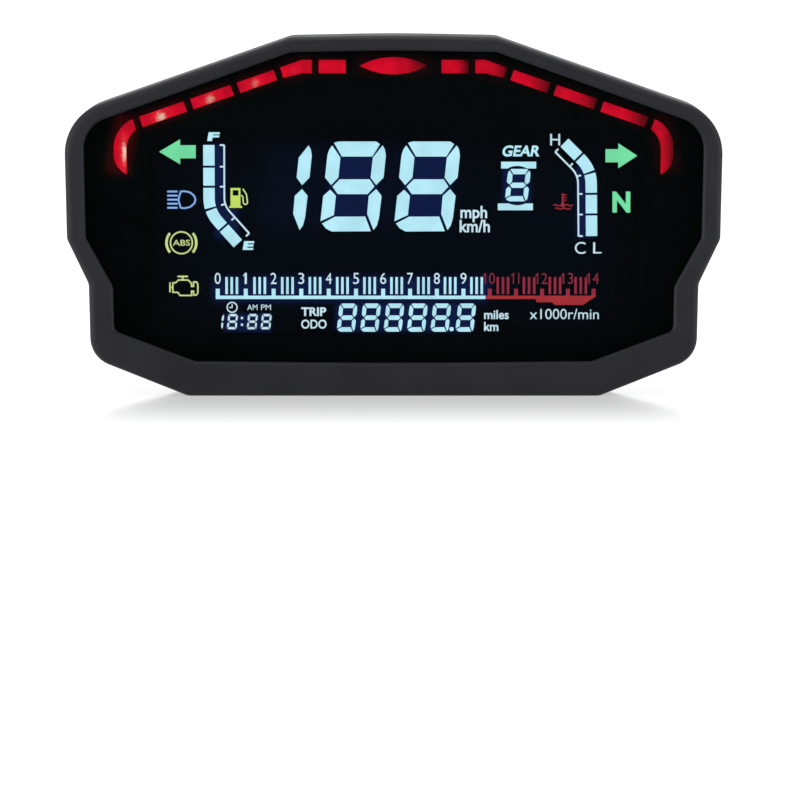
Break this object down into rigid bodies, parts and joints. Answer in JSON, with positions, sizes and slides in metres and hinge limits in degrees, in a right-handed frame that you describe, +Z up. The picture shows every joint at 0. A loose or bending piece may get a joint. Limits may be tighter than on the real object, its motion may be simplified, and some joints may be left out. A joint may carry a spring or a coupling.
{
  "type": "motorcycle instrument cluster",
  "caption": "Motorcycle instrument cluster: segment display and red shift lights behind a smoked window, set buttons on the back and studs that bolt it to a bracket.",
  "frame": {"origin": "under the middle of the cluster, on the plane that its lower edge rests on", "axes": "+X to the right of someone reading it, +Y from the window to the back, +Z up"},
  "size_m": [0.1646, 0.051, 0.0904],
  "materials": {
    "bezel_plastic": "fine satin grain, moulded",
    "housing_plastic": "coarse moulded grain",
    "smoked_window": "polished smoked polycarbonate with a hard coat",
    "black_rubber": "matt moulded rubber",
    "button_rubber": "matt silicone rubber",
    "mask_plastic": "matt black",
    "red_diffuser": "translucent red acrylic",
    "polariser_film": "dark film",
    "display_glass": "polished display glass",
    "clear_resin": "cured adhesive",
    "white_film": "thin white film",
    "clear_acrylic": "polished acrylic",
    "white_lamp": "lamp package",
    "white_plastic": "white moulding",
    "contact_rubber": "striped silicone rubber",
    "board_laminate": "green solder mask",
    "chip_resin": "moulded epoxy with tinned legs",
    "capacitor_can": "drawn can",
    "tin_plate": "tinned steel",
    "header_nylon": "natural nylon",
    "switch_stem": "moulded stem",
    "vent_plastic": "black moulding",
    "zinc_steel": "zinc plated",
    "black_steel": "black oxide"
  },
  "bodies": {
    "housing": {"backlight_strip": "white_lamp", "board_screws": "zinc_steel", "breather_vent": "vent_plastic", "capacitors": "capacitor_can", "cell_seal": "clear_resin", "circuit_board": "board_laminate", "clock_crystal": "tin_plate", "contact_strip": "contact_rubber", "dampers": "black_rubber", "diffuser_film": "white_film", "display_driver_chip": "chip_resin", "display_holder": "white_plastic", "front_bezel": "bezel_plastic", "front_glass": "display_glass", "front_polariser": "polariser_film", "harness_gland": "black_rubber", "harness_header": "header_nylon", "housing_screws": "black_steel", "housing_seal": "black_rubber", "light_baffle": "mask_plastic", "light_guide": "clear_acrylic", "light_mask": "mask_plastic", "mounting_studs": "zinc_steel", "power_coil": "chip_resin", "processor_chip": "chip_resin", "rear_glass": "display_glass", "rear_housing": "housing_plastic", "rear_polariser": "polariser_film", "reflector_film": "white_film", "shift_lamps": "white_lamp", "shift_light_centre": "red_diffuser", "shift_light_left_1": "red_diffuser", "shift_light_left_2": "red_diffuser", "shift_light_left_3": "red_diffuser", "shift_light_left_4": "red_diffuser", "shift_light_left_5": "red_diffuser", "shift_light_left_6": "red_diffuser", "shift_light_right_1": "red_diffuser", "shift_light_right_2": "red_diffuser", "shift_light_right_3": "red_diffuser", "shift_light_right_4": "red_diffuser", "shift_light_right_5": "red_diffuser", "shift_light_right_6": "red_diffuser", "switch_bodies": "chip_resin", "voltage_regulator": "chip_resin", "window_gasket": "black_rubber", "window_lens": "smoked_window"},
    "button_a": {"set_button_a": "button_rubber", "switch_stem_a": "switch_stem"},
    "button_b": {"set_button_b": "button_rubber", "switch_stem_b": "switch_stem"}
  },
  "joints": [
    {"name": "button_a_press", "type": "slide", "parent": "housing", "child": "button_a", "axis": [0, -1, 0], "range_m": [0, 0.001], "stiffness_N_per_m": 1000, "springref_m": -0.001},
    {"name": "button_b_press", "type": "slide", "parent": "housing", "child": "button_b", "axis": [0, -1, 0], "range_m": [0, 0.001], "stiffness_N_per_m": 1000, "springref_m": -0.001}
  ]
}
